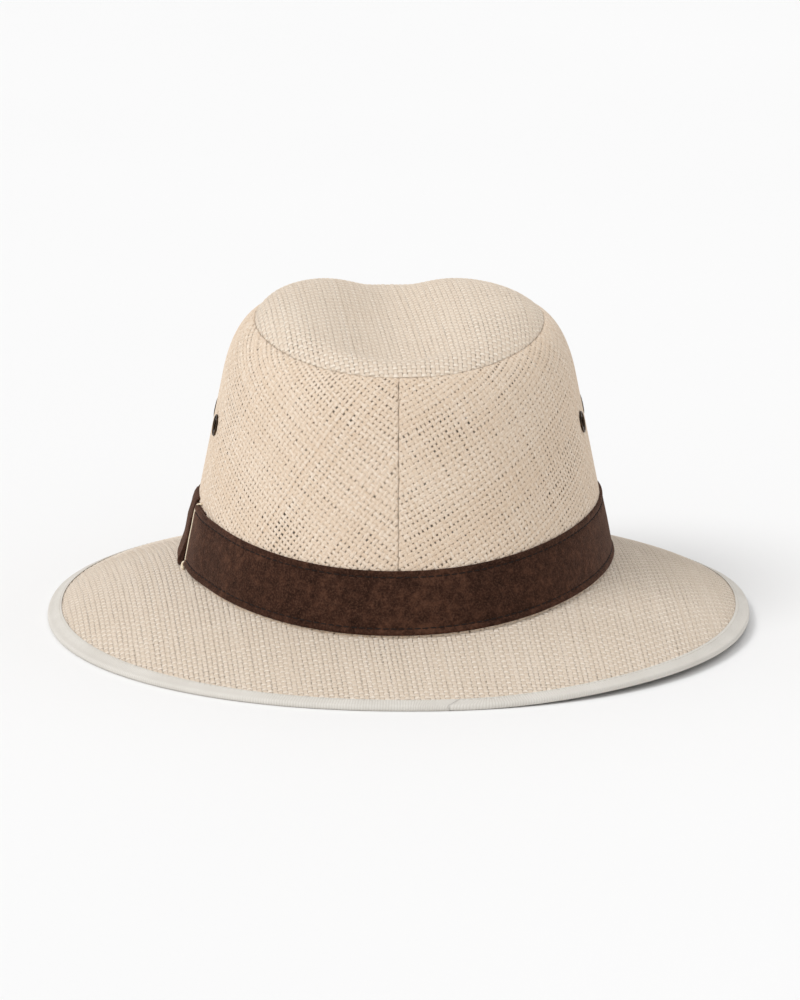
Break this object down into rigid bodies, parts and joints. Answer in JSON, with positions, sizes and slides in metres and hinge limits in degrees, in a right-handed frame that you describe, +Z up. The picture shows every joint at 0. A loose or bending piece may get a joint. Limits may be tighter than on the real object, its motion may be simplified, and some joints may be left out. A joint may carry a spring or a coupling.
{
  "type": "panama hat",
  "caption": "Woven straw hat with a creased crown, a sloping bound brim, a suede band with a side keeper, and side vent eyelets.",
  "frame": {"origin": "centre of the brim's outline, on the surface that the brim's edge rests on", "axes": "+Z up through the crown, +Y towards the front of the hat, +X towards the wearer's right"},
  "size_m": [0.29, 0.318, 0.1331],
  "materials": {
    "crown_straw": "open plain weave of twisted paper straw, natural cream",
    "brim_straw": "close plain weave of twisted paper straw, natural beige",
    "cotton_tape": "matt cotton tape, ivory",
    "ribbed_binding": "ribbed binding tape, off-white",
    "steel_wire": "drawn steel wire",
    "brown_suede": "dark brown suede, mottled",
    "cream_piping": "twisted cotton piping, cream",
    "bronze_metal": "dark bronze plating"
  },
  "bodies": {
    "root": {"crown_tip": "crown_straw", "crown_side": "crown_straw", "tip_seam_tape": "cotton_tape", "back_seam_tape": "cotton_tape", "brim_upper": "brim_straw", "brim_lower": "brim_straw", "brim_binding": "ribbed_binding", "brim_wire": "steel_wire", "wire_joiner": "steel_wire", "sweatband": "cotton_tape", "sweatband_tab": "cotton_tape", "hat_band": "brown_suede", "band_keeper": "brown_suede", "band_piping": "cream_piping", "eyelet_left_rear": "bronze_metal", "eyelet_left_front": "bronze_metal", "eyelet_right_rear": "bronze_metal", "eyelet_right_front": "bronze_metal", "washer_left_rear": "bronze_metal", "washer_left_front": "bronze_metal", "washer_right_rear": "bronze_metal", "washer_right_front": "bronze_metal"}
  },
  "joints": []
}
